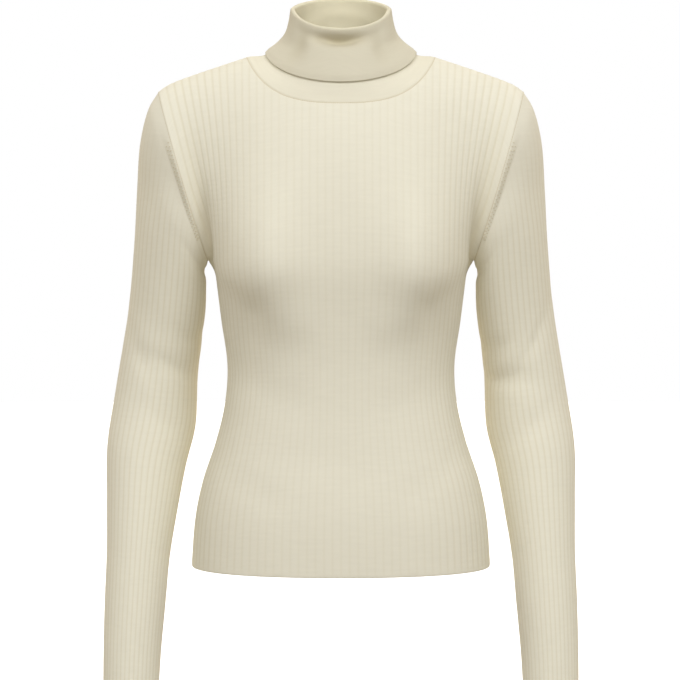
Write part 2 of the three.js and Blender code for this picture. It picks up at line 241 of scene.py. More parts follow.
def smooth(rows, column, place, key=None):
    """A column's value at a place between rows, on cubic curves whose slope at a row is that from
    the row before it to the row after it. The place is a row number, or a value of the key column."""
    value = rows[column]
    at = np.arange(len(value)) if key is None else rows[key]
    slope = np.gradient(value) / np.gradient(at)
    row = np.clip(np.searchsorted(at, place) - 1, 0, len(at) - 2)
    span = at[row + 1] - at[row]
    share = (place - at[row]) / span
    eased = share**2 * (3 - 2 * share)
    bend = share * (1 - share) * ((1 - share) * slope[row] - share * slope[row + 1])
    return value[row] * (1 - eased) + value[row + 1] * eased + span * bend


def soft_step(value, low, high):
    """0 below low, 1 above high, and 3s^2 - 2s^3 between them."""
    share = np.clip((value - low) / (high - low), 0, 1)
    return share**2 * (3 - 2 * share)


def unit(vectors):
    """The same directions with a length of 1."""
    return vectors / np.maximum(np.linalg.norm(vectors, axis=-1, keepdims=True), 1e-9)


def facing(grid, ring=False):
    """Which way a grid of points faces: across its columns times up its rows."""
    if ring:
        across = np.roll(grid, -1, 1) - np.roll(grid, 1, 1)
    else:
        across = np.gradient(grid, axis=1)
    return unit(np.cross(across, np.gradient(grid, axis=0)))


print("sizes ready:", PANEL_RIBS, "ribs on a panel,", SLEEVE_RIBS, "round a sleeve")

# %% [markdown]
# ## Front and back
# Each panel is knitted flat and takes the wearer's shape. Below the armpits it is half of a
# rather square oval at each height, and its columns are spaced evenly along the cloth, as the
# stitches are. Above the armpits each column is a quarter of an upright oval up to the shoulder
# line, and towards the armhole it bends over to the armhole's slanted oval. The neck is cut out
# by ending each column early. A sculpted shape would look as good from one side, but a formula
# keeps the ribs on the columns, which is what makes the cloth look knitted.


# %% The body's surface
def body_section(side, u, z):
    """x and depth on the oval |x / half|^p + |y / depth|^p = 1 at a height, with u as the share
    of the arc's length from the middle to the side seam."""
    half = smooth(BODY, "half", z, "z")
    depth = smooth(BODY, "front" if side == FRONT else "back", z, "z")
    angle = np.linspace(0, np.pi / 2, 481)
    x = half * np.sin(angle) ** (2 / BODY_SQUARENESS)
    y = depth * np.cos(angle) ** (2 / BODY_SQUARENESS)
    steps = np.hypot(np.diff(x), np.diff(y))
    length = np.concatenate([0 * half, np.cumsum(steps, 1)], 1)
    wanted = np.abs(u) * length[:, -1:]
    pick = [[np.interp(w, s, c) for w, s, c in zip(wanted, length, curve)] for curve in (x, y)]
    return np.sign(u) * np.array(pick[0]), np.array(pick[1])


def neck_depth(side, x):
    """Distance of the neck's edge from the shoulder line: depth (1 - |x / half|^s)^(1 / s)."""
    share = np.minimum(np.abs(x) / NECK_HALF, 1)
    depth = NECK_FRONT if side == FRONT else NECK_BACK
    return depth * (1 - share**NECK_SQUARENESS) ** (1 / NECK_SQUARENESS)


def body_surface(side, u, t):
    """t runs from 0 at the hem to 1 at the armpits and 2 on the shoulder line. Above 1, with
    a = 90 degrees (t - 1): y = depth cos a, and z rises with sin a. The bust is a bell on each
    side, with a hollow under it, and each adds height e^-(aside^2 + above^2)."""
    w = np.abs(u)
    z = BODY["z"][0] + np.minimum(t[:, :1], 1) * (ARMPIT[2] - BODY["z"][0])
    x, depth = body_section(side, u, z)
    x = x + np.sign(u) * FLARE_OUT * np.maximum(1 - (ARMPIT[2] - z) / FLARE_DOWN, 0) ** 2 * w**10
    angle = np.pi / 2 * np.maximum(t - 1, 0)
    across = (1 - np.cos(2 * angle)) / 2
    top_x = SHOULDER_TIP[0] * u
    ridge = SHOULDER_PEAK - SHOULDER_SLOPE * np.hypot(top_x, SHOULDER_ROUNDING) - TIP_DROP * w**24
    x = x + (top_x - x) * across
    y = side * (depth * np.cos(angle) + ARMHOLE_HALF_DEPTH * np.sin(2 * angle) * w**4)
    rise = (SHOULDER_TIP[2] - ARMPIT[2]) * (across - np.sin(angle)) * w**4
    z = z + (ridge - ARMPIT[2]) * np.sin(angle) + rise
    if side == FRONT:
        reach = np.where(z > BUST_Z, BUST_ABOVE, BUST_BELOW)
        aside = np.abs(x) - BUST_X
        spread = np.where(aside > 0, BUST_OUTWARDS, BUST_INWARDS)
        bell = (aside / spread) ** 2 + ((z - BUST_Z) / reach) ** 2
        dip = ((np.abs(x) - HOLLOW_X) / HOLLOW_WIDTH) ** 2 + ((z - HOLLOW_Z) / HOLLOW_HEIGHT) ** 2
        y = y - (BUST_RISE * np.exp(-bell) - HOLLOW_DEPTH * np.exp(-dip)) * (1 - w**12)
    return np.stack(np.broadcast_arrays(x, y + side * SEAM_GAP / 2, z), -1)


def row_place(side, u, v):
    """v runs from 0 at the hem to 1 at the armpits and 2 at the panel's top edge. Above 1 it is
    scaled to end where depth cos a meets the neck's edge."""
    depth = body_section(side, u, ARMPIT[2:, None])[1]
    opening = neck_depth(side, SHOULDER_TIP[0] * u) / np.maximum(depth, 1e-6)
    end = np.arccos(np.clip(opening, 0, 1)) / (np.pi / 2)
    return np.where(v <= 1, v, 1 + (v - 1) * end)


def body_facing(side, u, t):
    """The cloth's direction on the surface, from points a thousandth of u and t away."""
    near = 1e-3
    across = body_surface(side, np.minimum(u + near, 1), t) - body_surface(side, np.maximum(u - near, -1), t)
    up = body_surface(side, u, np.minimum(t + near, 2)) - body_surface(side, u, t - near)
    return unit(np.cross(across, up)) * -side


# %% [markdown]
# ## Armholes
# The armhole is an oval in a slanted plane, from the armpit up to the tip of the shoulder. In
# the armpit the body and the sleeve lean away from the seam, which makes the dark crease there.

# %% The armhole's plane
ARMHOLE_UP = unit(SHOULDER_TIP - ARMPIT)
ARMHOLE_HALF = np.linalg.norm(SHOULDER_TIP - ARMPIT) / 2
INTO_SLEEVE = np.array([ARMHOLE_UP[2], 0, -ARMHOLE_UP[0]])


def armhole_facing(angle, lean):
    """Square to the oval in its plane, at an angle from the armpit over the front, and leaning
    along the arm by lean ((1 + cos) / 2)^3."""
    angle = np.asarray(angle)[..., None]
    out = -np.cos(angle) / ARMHOLE_HALF * ARMHOLE_UP
    out = unit(out + np.array([0, -1, 0]) * np.sin(angle) / ARMHOLE_HALF_DEPTH)
    return unit(out + INTO_SLEEVE * lean * ((1 + np.cos(angle)) / 2) ** 3)


print("armhole", round(2 * ARMHOLE_HALF), "mm high")

# %% [markdown]
# ## Cloth
# A knitted piece is a thin wall: a fine outside with its ribs, a plainer inside, and edges that
# close it all round. Each wall is one mesh of quads, with a map that counts ribs across the cloth
# and lengths of one rib's width along it, so that the stitches of the material follow the cloth.

# %% Walls
RIB_PITCH = 7.4


def as_piece(name, points, faces, material):
    """A smooth mesh from points in millimetres, linked to the scene, riding root, with its slot."""
    mesh = bpy.data.meshes.new(name)
    mesh.from_pydata((points.reshape(-1, 3) / 1000).tolist(), [], faces)
    mesh.polygons.foreach_set("use_smooth", np.ones(len(faces), bool))
    mesh.materials.append(material)
    piece = bpy.data.objects.new(name, mesh)
    scene.collection.objects.link(piece)
    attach(piece, "root")
    print(f"{name}: {len(faces)} faces")
    return piece


def tone(piece, name, values):
    """One number a point, which the material reads by name."""
    stored = piece.data.attributes.new(name, "FLOAT", "POINT")
    stored.data.foreach_set("value", np.asarray(values, np.float32).ravel())


def wall(name, outer, inner, ribs, unshaded_crest, ring, turned, material, behind=0.6):
    """A closed wall from two grids of points with rows from the bottom up. The inside has fewer
    columns, and at the top and bottom each of its spans is joined to a fan of the outside's."""
    rows, count = outer.shape[:2]
    numbers = [np.arange(rows * count).reshape(rows, count)]
    numbers.append(rows * count + np.arange(rows * inner.shape[1]).reshape(rows, -1))
    if ring:
        numbers = [np.hstack([grid, grid[:, :1]]) for grid in numbers]
    out, back = numbers
    quads = [np.stack([g[:-1, :-1], g[:-1, 1:], g[1:, 1:], g[1:, :-1]], -1).reshape(-1, 4) for g in numbers]
    faces = quads[0].tolist() + quads[1][:, ::-1].tolist()
    stride = (out.shape[1] - 1) // (back.shape[1] - 1)
    fan = np.arange(back.shape[1] - 1)[:, None] * stride + np.arange(stride + 1)
    faces += np.hstack([out[0][fan][:, ::-1], back[0][:-1, None], back[0][1:, None]]).tolist()
    faces += np.hstack([out[-1][fan], back[-1][1:, None], back[-1][:-1, None]]).tolist()
    if not ring:
        faces += np.stack([out[:-1, 0], out[1:, 0], back[1:, 0], back[:-1, 0]], -1).tolist()
        faces += np.stack([out[1:, -1], out[:-1, -1], back[:-1, -1], back[1:, -1]], -1).tolist()
    if turned:
        faces = [face[::-1] for face in faces]
    points = np.concatenate([outer.reshape(-1, 3), inner.reshape(-1, 3)])
    piece = as_piece(name, points, faces, material)
    mesh = piece.data

    places = []
    for grid in (outer, inner):
        steps = np.linalg.norm(np.diff(grid, axis=0), axis=-1)
        along = np.concatenate([np.zeros((1, grid.shape[1])), np.cumsum(steps, 0)]) / RIB_PITCH
        across = np.broadcast_to(np.arange(grid.shape[1]) * ribs / (grid.shape[1] - (not ring)), along.shape)
        places.append(np.stack([across, along], -1).reshape(-1, 2))
    places = np.concatenate(places)
    corner = np.zeros(len(mesh.loops), np.int32)
    mesh.loops.foreach_get("vertex_index", corner)
    first = np.zeros(len(mesh.polygons), np.int32)
    mesh.polygons.foreach_get("loop_start", first)
    total = np.diff(np.append(first, len(corner)))
    place = places[corner]
    widest = np.repeat(np.maximum.reduceat(place[:, 0], first), total)
    place[:, 0] += np.where(widest - place[:, 0] > ribs / 2, ribs, 0)
    mesh.uv_layers.new(name="cloth").data.foreach_set("uv", place.astype(np.float32).ravel())
    tone(piece, "unshaded_crest", np.append(unshaded_crest, np.broadcast_to(behind, inner.shape[:2])))
    return piece


def carried(name, path, up, radius, closed, material, sides=8):
    """A round profile carried along a path: each ring is path + r (cos a up + sin a beside), where
    beside is square to the path and to up. An open path's ends are closed."""
    ahead = np.roll(path, -1, 0) - np.roll(path, 1, 0) if closed else np.gradient(path, axis=0)
    beside = unit(np.cross(ahead, up))
    up = unit(np.cross(beside, ahead))
    angle = np.linspace(0, 2 * np.pi, sides, endpoint=False)
    ring = np.cos(angle)[:, None] * up[:, None] + np.sin(angle)[:, None] * beside[:, None]
    points = path[:, None] + np.asarray(radius).reshape(-1, 1, 1) * ring
    number = np.arange(len(path) * sides).reshape(len(path), sides)
    number = np.hstack([number, number[:, :1]])
    if closed:
        number = np.vstack([number, number[:1]])
    quads = np.stack([number[:-1, :-1], number[:-1, 1:], number[1:, 1:], number[1:, :-1]], -1)
    faces = quads.reshape(-1, 4).tolist()
    if not closed:
        faces += [number[0, :-1][::-1].tolist(), number[-1, :-1].tolist()]
    return as_piece(name, points, faces, material)


# %% [markdown]
# ## The knit
# The yarn is a soft matt blend, spun and knitted fine, then washed. Its fibres scatter light, so
# there is no gloss but a pale bloom at grazing angles, which is sheen. A stitch is a V of two
# legs: four columns of stitches make one rib with its groove, 1.85 mm each, and a row is 1.3 mm
# high. Both are real sizes, and just show in a close view. The grooves are painted a little
# deeper in colour: painted shade for the light that is reflected in them several times and takes
# up the wool's own colour. The same deeper colour is painted as shade in the armpit creases and
# over the collar's outer layer and its creases. Inside the neck and in the collar's creases the
# cloth is painted a little warmer, richer and lighter, as painted bounce light.


# %% Knit materials
STITCH_HEIGHT = 1.3
RICHER_INSIDE, LIGHTER_INSIDE = 0.36, 0.06


def knit(name, unshaded_crest, groove_and_shade, columns, bump):
    """A knitted cloth. Across a stitch, a runs from 0 to 1 and its two legs are |sin(2 pi a)|;
    along it, the legs rise to the outside by |2a - 1| and are |sin| of that height."""
    material, output = empty_material(name)
    tree = material.node_tree
    place = add(tree, "SeparateXYZ", {0: add(tree, "UVMap", uv_map="cloth").outputs[0]})
    column = add(tree, "Math", {0: place.outputs[0], 1: columns}, operation="MULTIPLY").outputs[0]
    inside = add(tree, "Math", {0: column}, operation="FRACT").outputs[0]
    off = add(tree, "Math", {0: inside, 1: 2.0, 2: -1.0}, operation="MULTIPLY_ADD").outputs[0]
    leg = add(tree, "Math", {0: off}, operation="ABSOLUTE").outputs[0]
    rate = RIB_PITCH / STITCH_HEIGHT * np.pi
    row = add(tree, "Math", {0: place.outputs[1], 1: rate}, operation="MULTIPLY").outputs[0]
    lifted = add(tree, "Math", {0: leg, 1: -1.6, 2: row}, operation="MULTIPLY_ADD").outputs[0]
    round_row = add(tree, "Math", {0: add(tree, "Math", {0: lifted}, operation="SINE").outputs[0]},
                    operation="ABSOLUTE").outputs[0]
    across = add(tree, "Math", {0: inside, 1: 2 * np.pi}, operation="MULTIPLY").outputs[0]
    round_leg = add(tree, "Math", {0: add(tree, "Math", {0: across}, operation="SINE").outputs[0]},
                    operation="ABSOLUTE").outputs[0]
    height = add(tree, "Math", {0: round_row, 1: round_leg}, operation="MULTIPLY").outputs[0]
    relief = add(tree, "Bump", {"Strength": bump, "Distance": 0.0004, "Height": height}).outputs[0]

    stretched = add(tree, "Mapping", {"Vector": add(tree, "UVMap", uv_map="cloth").outputs[0],
                                      "Scale": (0.35, 2.2, 1.0)}).outputs[0]
    uneven = add(tree, "TexNoise", {"Vector": stretched, "Scale": 1.0, "Detail": 3.0}).outputs[0]
    # Painted shade: a point's share from this attribute mixes in the deeper second colour, in the rib
    # grooves, the armpit creases and over the collar's outer layer and its creases.
    unshaded_share = add(tree, "Attribute", attribute_name="unshaded_crest").outputs["Fac"]
    tint = add(tree, "Mix", {"Factor": unshaded_share, "A": colour(groove_and_shade), "B": colour(unshaded_crest)}, data_type="RGBA")
    shade = add(tree, "MapRange", {"Value": uneven, "From Min": 0.3, "From Max": 0.7,
                                   "To Min": 0.985, "To Max": 1.01}).outputs[0]
    # Painted bounce light: this attribute makes the colour warmer, richer and a little lighter inside the
    # neck, over the collar's fold and in its creases.
    painted_warm_bounce = add(tree, "Attribute", attribute_name="painted_warm_bounce").outputs["Fac"]
    richer = add(tree, "Math", {0: painted_warm_bounce, 1: RICHER_INSIDE, 2: 1.0}, operation="MULTIPLY_ADD").outputs[0]
    lighter = add(tree, "Math", {0: painted_warm_bounce, 1: LIGHTER_INSIDE, 2: shade}, operation="MULTIPLY_ADD").outputs[0]
    yarn = add(tree, "HueSaturation", {"Color": tint.outputs["Result"], "Saturation": richer,
                                       "Value": lighter}).outputs[0]
    cloth = add(tree, "BsdfPrincipled", {
        "Base Color": yarn,
        "Normal": relief,
        "Roughness": 0.92,
        "IOR": 1.45,
        "Specular IOR Level": 0.2,
        "Sheen Weight": 0.12,
        "Sheen Roughness": 0.45,
    })
    tree.links.new(cloth.outputs[0], output.inputs["Surface"])
    return material


# The second colour of each knit is painted shade. On the rib knit it is for the grooves and the armpit
# creases. The plain knit has no grooves, and its deeper colour is painted shade on the collar's outer layer
# and its creases.
rib_knit = knit("fine wool-blend rib knit, washed", "#EAE6D5", "#E2DCC6", 4.0, 0.3)
plain_knit = knit("fine wool-blend plain knit, washed", "#E6E1CE", "#C6BFA9", 5.0, 0.3)
print("materials:", rib_knit.name, "|", plain_knit.name)

# %% [markdown]
# ## The ribs and the creases of the body
# A rib is flat on top, with a narrow groove between it and the next: 1 - |cos|^10 across its
# width gives that. Over the bust and the belly the cloth is stretched and its ribs are low, and
# at the sides they relax and stand higher. They die away along the armholes, where the pieces
# are shaped stitch by stitch, and at the hem's finished edge. The cloth is worn tight, so its
# creases are few and soft: they are placed one by one, as uneven troughs, and pushed
# into both sides of the wall. The deepest run down from the shoulders into the armpits. The back
# has the like of those on the front.

# %% Relief of the body
RIB = 0.20
COLUMNS_PER_RIB = 8
INSIDE_STRIDE = 4
CREASES = {
    FRONT: table(
        "x0 z0 x1 z1 width depth",
        (-130, -236, -92, -258, 14, 2.6),
        (128, -234, 92, -256, 14, 2.6),
        (-118, -262, -92, -276, 20, 2.4),
        (116, -260, 94, -274, 20, 2.6),
        (-62, -268, -44, -270, 22, -2.2),
        (64, -268, 46, -270, 22, -2.2),
        (-104, -330, -52, -352, 19, 1.1),
        (112, -336, 56, -356, 19, 1.0),
        (-60, -412, 34, -424, 18, 0.6),
        (-118, -428, -70, -452, 16, 0.8),
        (112, -420, 76, -446, 14, 0.9),
    ),
    BACK: table(
        "x0 z0 x1 z1 width depth",
        (-122, -246, -56, -272, 15, 1.5),
        (120, -240, 52, -276, 16, 1.7),
        (-116, -322, -30, -350, 14, 1.8),
        (118, -316, 26, -352, 15, 1.6),
        (-70, -372, 60, -378, 14, 1.3),
        (-34, -150, -30, -236, 20, 0.8),
    ),
}


def creases(side, points):
    """The sum of -depth e^(-(d / width)^2), where d is the distance from each crease's line."""
    rows = CREASES[side]
    amount = np.zeros(points.shape[:2])
    for x0, z0, x1, z1, width, depth in zip(*rows.values()):
        run, rise = x1 - x0, z1 - z0
        share = ((points[..., 0] - x0) * run + (points[..., 2] - z0) * rise) / (run**2 + rise**2)
        share = np.clip(share, 0, 1)
        d2 = (points[..., 0] - x0 - share * run) ** 2 + (points[..., 2] - z0 - share * rise) ** 2
        amount -= depth * np.exp(-d2 / width**2)
    return amount


ARMPIT_CREASES = table(
    "w inwards outwards v height depth",
    (0.95, 0.06, 0.03, 1.14, 0.20, 6.5),
    (0.90, 0.07, 0.07, 1.35, 0.24, 2.5),
)


def armpit_creases(w, v):
    """Each is -depth e^(-a^2 - b^2), with a from its line and b from its level, and wider inwards."""
    amount = np.zeros(np.broadcast_shapes(w.shape, v.shape))
    for line, inwards, outwards, level, height, depth in zip(*ARMPIT_CREASES.values()):
        aside = (w - line) / np.where(w < line, inwards, outwards)
        amount -= depth * np.exp(-(aside**2) - ((v - level) / height) ** 2)
    return amount


def panel(name, side, node):
    """The surface at each column and row, pushed along its direction by the ribs and creases."""
    u = np.linspace(-1, 1, PANEL_RIBS * COLUMNS_PER_RIB + 1)[None]
    low = np.concatenate([[0, 0.0018, 0.005, 0.010], np.linspace(0.018, 1, 78)])
    v = np.concatenate([low, np.linspace(1, 2, 62)[1:-1], [1.993, 2]])[:, None]
    w = np.abs(u)
    points = body_surface(side, u, row_place(side, u, v))
    out = facing(points) * -side
    angle = np.pi * np.clip(v - 1, 0, 1)
    edge = armhole_facing(angle, ARMPIT_LEAN) * [1, -side, 1]
    edge = edge * np.where(u < 0, -1, 1)[..., None] ** np.array([1, 0, 0])
    near = soft_step(w, 0.965, 1) * (v >= 1)
    out = unit(out * (1 - near[..., None]) + edge * near[..., None])
    seam = (w == 1) & (v < 1)
    out[..., 1] = np.where(seam, 0, out[..., 1])
    out = unit(out)

    hem = v * (ARMPIT[2] - BODY["z"][0])
    fade = (0.3 + 0.7 * soft_step(hem, 1, 7)) * (1 - 0.5 * soft_step(v, 1.985, 2))
    fade = fade * (1 - soft_step(w, 0.945, 0.985) * soft_step(v, 0.99, 1.03))
    rib = (1 - np.abs(np.cos(np.pi * PANEL_RIBS * (u + 1) / 2)) ** 10) * fade
    fold = creases(side, points) * (1 - w**8) * (1 - soft_step(v, 1.9, 2))
    armpit = armpit_creases(w, v)
    round_edge = 0.4 * (1 - soft_step(hem, 0, 1.2))
    both = points + out * (fold + armpit)[..., None]
    relaxed = 0.55 + 1.05 * soft_step(w, 0.3, 0.9)
    outer = both + out * (RIB * relaxed * rib - round_edge)[..., None]
    inner = (both - out * (RIB_WALL - round_edge)[..., None])[:, ::INSIDE_STRIDE]
    # Painted shade: the rib grooves take the deeper colour, more fully where the ribs relax at the sides, and
    # the armpit creases are painted darker with it.
    unshaded_crest = 1 - (fade - rib) * relaxed / 1.6 + armpit / 7
    piece = wall(name, outer, inner, PANEL_RIBS, unshaded_crest, False, side == BACK, rib_knit)
    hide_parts(node)
    return piece


knit_front = panel("knit_front", FRONT, "front")
knit_back = panel("knit_back", BACK, "back")

# %% [markdown]
# ## Sleeves
# A set-in sleeve is a tube that narrows from the armhole to the cuff. Its rings are ovals between
# the sleeve's outer and inner outlines, and its lower half bends forward a little, as a relaxed
# arm does. The shoulder's cap is nearly smooth, and the ribs grow below it. The cloth dips a
# little between the cap and the arm, and the inside of the elbow has the soft creases of an arm
# that is not quite straight. One function gives all of these, since the marks follow them too.


# %% Sleeves
def sleeve_surface(angle, place):
    """Half the sum of the outlines less half their difference times cos(angle), and
    y = middle - depth sin(angle), with the angle from the inner outline over the front."""
    at = {column: smooth(SLEEVE, column, place) for column in SLEEVE}
    half_x, half_z = (at["outer_x"] - at["inner_x"]) / 2, (at["outer_z"] - at["inner_z"]) / 2
    x = at["inner_x"] + half_x - half_x * np.cos(angle)
    z = at["inner_z"] + half_z - half_z * np.cos(angle)
    y = at["middle"] - at["depth"] * np.sin(angle)
    gap = SEAM_GAP * np.maximum(1 - place, 0)[..., None]
    return np.stack(np.broadcast_arrays(x, y, z), -1) + INTO_SLEEVE * gap


ELBOW = {
    1: table(
        "angle place turn width depth",
        (1.05, 5.30, 0.40, 0.17, 3.4),
        (2.05, 5.05, -0.35, 0.16, 1.4),
        (0.55, 4.35, 0.50, 0.22, 1.5),
        (1.35, 6.35, -0.25, 0.20, 1.1),
        (4.50, 5.70, 0.20, 0.24, 1.2),
        (5.30, 4.80, -0.45, 0.20, 1.4),
        (0.35, 1.55, 0.80, 0.30, 2.0),
        (5.90, 1.70, -0.70, 0.30, 1.8),
    ),
    -1: table(
        "angle place turn width depth",
        (1.35, 5.20, 0.25, 0.17, 2.6),
        (1.95, 5.45, -0.30, 0.18, 1.3),
        (0.60, 4.10, 0.55, 0.22, 1.4),
        (1.25, 6.10, -0.20, 0.20, 1.2),
        (4.60, 5.50, 0.25, 0.24, 1.3),
        (5.20, 4.95, -0.40, 0.20, 1.2),
        (0.40, 1.50, 0.80, 0.30, 2.0),
        (5.85, 1.60, -0.70, 0.30, 1.9),
    ),
}


CREASE_REACH = 0.75
CAP_DIP, CAP_DIP_Z, CAP_DIP_HEIGHT = 6.0, -125, 42


def sleeve_fold(arm, angle, place, z):
    """Each crease is -depth e^(-(p / width)^2 - (a / 0.75)^2), with a the angle from its middle and
    p the place less turn times a. The dip below the cap is -depth |sin(angle)| e^(-(z / height)^2),
    and all of them end at the armhole seam."""
    amount = np.zeros(np.broadcast_shapes(angle.shape, place.shape))
    for middle, at, slant, width, depth in zip(*ELBOW[arm].values()):
        aside = (angle - middle + np.pi) % (2 * np.pi) - np.pi
        far = ((place - at - slant * aside) / width) ** 2 + (aside / CREASE_REACH) ** 2
        amount -= depth * np.exp(-far)
    amount -= CAP_DIP * np.exp(-(((z - CAP_DIP_Z) / CAP_DIP_HEIGHT) ** 2)) * np.abs(np.sin(angle))
    return amount * soft_step(place, 0.05, 0.8)


def sleeve(name, arm, node):
    """The sleeve on the +X side, mirrored for the other arm. Rows run from the cuff up."""
    columns = SLEEVE_RIBS * 6
    angle = (2 * np.pi * np.arange(columns) / columns)[None]
    place = [[12, 11.99, 11.96, 11.92], np.linspace(11.85, 0.06, 138), [0.03, 0.012, 0]]
    place = np.concatenate(place)[:, None]
    points = sleeve_surface(angle, place)
    out = facing(points, ring=True)
    near = (1 - soft_step(place, 0, 0.35))[..., None]
    out = unit(out * (1 - near) + armhole_facing(angle, -ARMPIT_LEAN) * near)
    cuff = (12 - place) * 40
    fade = soft_step(place, 0.5, 3.2) * (0.3 + 0.7 * soft_step(cuff, 1, 7))
    rib = (1 - np.abs(np.cos(angle * SLEEVE_RIBS / 2)) ** 10) * fade
    fold = sleeve_fold(arm, angle, place, points[..., 2])
    round_edge = 0.4 * (1 - soft_step(cuff, 0, 1.2))
    mirror = np.array([arm, 1, 1])
    both = points + out * fold[..., None]
    outer = (both + out * (RIB * rib - round_edge)[..., None]) * mirror
    inner = (both - out * (RIB_WALL - round_edge)[..., None])[:, ::3] * mirror
    # Painted shade: the rib grooves take the deeper colour, and the smooth cap keeps the light one.
    unshaded_crest = 1 - fade + rib
    piece = wall(name, outer, inner, SLEEVE_RIBS, unshaded_crest, True, arm < 0, rib_knit)
    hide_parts(node)
    return piece


knit_sleeve_left = sleeve("knit_sleeve_left", 1, "sleeve_left")
knit_sleeve_right = sleeve("knit_sleeve_right", -1, "sleeve_right")

# %% [markdown]
# ## Collar
# The collar is one tube of plain knit: a low band on the neck seam, a stand, a soft round fold
# at the top and the outer layer down to its free edge. It is worked out from the outer layer,
# whose rings are ovals with their own heights at the sides, front and back, because the layer
# inside it lies close behind it everywhere. Below the fold in front is a deep soft hollow, where
# two thicknesses of cloth bend over each other, and painted shade makes its colour deeper there.
# The rest of the outer layer is painted a little darker as shade too, most in its creases, and
# the inside of the neck is painted warmer and lighter, as bounce light.


# %% Collar
def turn_down(angle, h):
    """x = half sin, y = -depth cos, and the height goes from the sides' to the front's or back's
    with |cos|, rounded where it is 0. The angle is 0 in the middle of the front."""
    at = {column: smooth(TURN_DOWN, column, h * 4) for column in TURN_DOWN}
    forward = np.cos(angle)
    is_front = forward > 0
    lift = (np.hypot(forward, SIDE_SOFTNESS) - SIDE_SOFTNESS) / (np.hypot(1, SIDE_SOFTNESS) - SIDE_SOFTNESS)
    end_z = np.where(is_front, at["front_z"], at["back_z"])
    z = at["side_z"] + (end_z - at["side_z"]) * lift
    y = -np.where(is_front, at["front"], at["back"]) * forward
    return np.stack(np.broadcast_arrays(at["half"] * np.sin(angle), y, z), -1)


COLLAR_CREASES = table(
    "angle h turn width reach depth",
    (-0.04, 0.79, 0.0, 0.13, 0.50, 10.5),
    (-0.84, 0.50, 0.0, 0.38, 0.17, 2.6),
    (0.74, 0.50, 0.0, 0.34, 0.16, 1.9),
    (-1.15, 0.42, 0.30, 0.12, 0.30, 0.9),
    (1.22, 0.45, -0.26, 0.12, 0.30, 0.9),
    (2.35, 0.60, 0.22, 0.14, 0.34, 1.2),
    (-2.45, 0.55, -0.25, 0.14, 0.36, 1.2),
    (3.10, 0.72, 0.05, 0.12, 0.40, 1.0),
)


def collar_creases(angle, h):
    """Each is -depth e^(-(p / width)^2 - (a / reach)^2), with p the height less turn times a."""
    amount = np.zeros(np.broadcast_shapes(angle.shape, h.shape))
    for middle, at, slant, width, reach, depth in zip(*COLLAR_CREASES.values()):
        aside = (angle - middle + np.pi) % (2 * np.pi) - np.pi
        amount -= depth * np.exp(-(((h - at - slant * aside) / width) ** 2) - (aside / reach) ** 2)
    return amount


def neck_seam(angle):
    """Points on the body's neck edge, the cloth's direction there, and the way into the collar."""
    across = np.sign(np.sin(angle)) * np.abs(np.sin(angle)) ** (2 / NECK_SQUARENESS)
    u = NECK_HALF * across / SHOULDER_TIP[0]
    is_front = (np.cos(angle) > 0)[..., None]
    two = np.array([[2.0]])
    places = {side: row_place(side, u, two) for side in (FRONT, BACK)}
    points = np.where(is_front, *[body_surface(side, u, places[side]) for side in (FRONT, BACK)])
    cloth = np.where(is_front, *[body_facing(side, u, places[side]) for side in (FRONT, BACK)])
    inward = unit(np.cross(cloth, np.roll(points, -1, 1) - np.roll(points, 1, 1)))
    return points, cloth, inward


COLLAR_COLUMNS = 224
EDGE_CURL = 1.1
angle = (2 * np.pi * (np.arange(COLLAR_COLUMNS) + 0.5) / COLLAR_COLUMNS)[None]
h = np.concatenate([[0, 0.01, 0.03], np.linspace(0.06, 1, 26)])[:, None]
outer_layer = turn_down(angle, h)
out = facing(outer_layer, ring=True)
outer_layer = outer_layer + out * (collar_creases(angle, h) * soft_step(h, 0.0, 0.3))[..., None]
out = facing(outer_layer, ring=True)
stand = outer_layer - out * LAYER_SPACING
outer_layer = outer_layer - out * EDGE_CURL * (1 - soft_step(h, 0, 0.12))[..., None]

seam_points, seam_cloth, seam_inward = neck_seam(angle)
start = seam_points - seam_cloth * RIB_WALL / 2 + seam_inward * NECK_SEAM_GAP
foot, foot_direction = stand[:1], unit(stand[1:2] - stand[:1])
reach = np.linalg.norm(foot - start, axis=-1, keepdims=True) / 3
s = np.concatenate([[0, 0.03], np.linspace(0.08, 1, 14)[:-1]])[:, None, None]
band = (1 - s) ** 3 * start + 3 * (1 - s) ** 2 * s * (start + seam_inward * reach)
band = band + 3 * (1 - s) * s**2 * (foot - foot_direction * reach) + s**3 * foot

half_turn = np.linspace(0, np.pi, 11)[:, None, None]
radius = LAYER_SPACING / 2
top_up = unit(outer_layer[-1:] - outer_layer[-2:-1]) * radius
fold = outer_layer[-1:] - out[-1:] * radius * (1 + np.cos(half_turn)) + top_up * np.sin(half_turn)
line = np.concatenate([band, stand[:-1], fold, outer_layer[:-1][::-1]])
print("collar line:", line.shape[0], "points at", COLLAR_COLUMNS, "angles")

side_of_line = facing(line, ring=True)
rows = np.arange(len(line))
from_edge = np.minimum(rows, len(line) - 1 - rows)[:, None, None]
half_wall = COLLAR_WALL / 2 * np.where(from_edge == 0, 0.6, np.where(from_edge == 1, 0.9, 1.0))
# Painted shade: the outer layer is painted half way to the deeper colour, darker still in its creases and
# most in the hollow below the front fold. The band and stand keep the light colour, and the fold blends
# between them.
turned_down_painted_shade = np.clip(0.5 + collar_creases(angle, h) / 9, 0, 1)
over = 1 + np.linspace(0, 1, len(half_turn))[:, None] * (turned_down_painted_shade[-1:] - 1)
hidden = np.ones((len(band) + len(stand) - 1, COLLAR_COLUMNS))
tones = np.concatenate([hidden, over, turned_down_painted_shade[:-1][::-1]])
knit_collar = wall(
    "knit_collar", line + side_of_line * half_wall, line - side_of_line * half_wall, 48,
    np.ones(line.shape[:2]), True, False, plain_knit, tones,
)
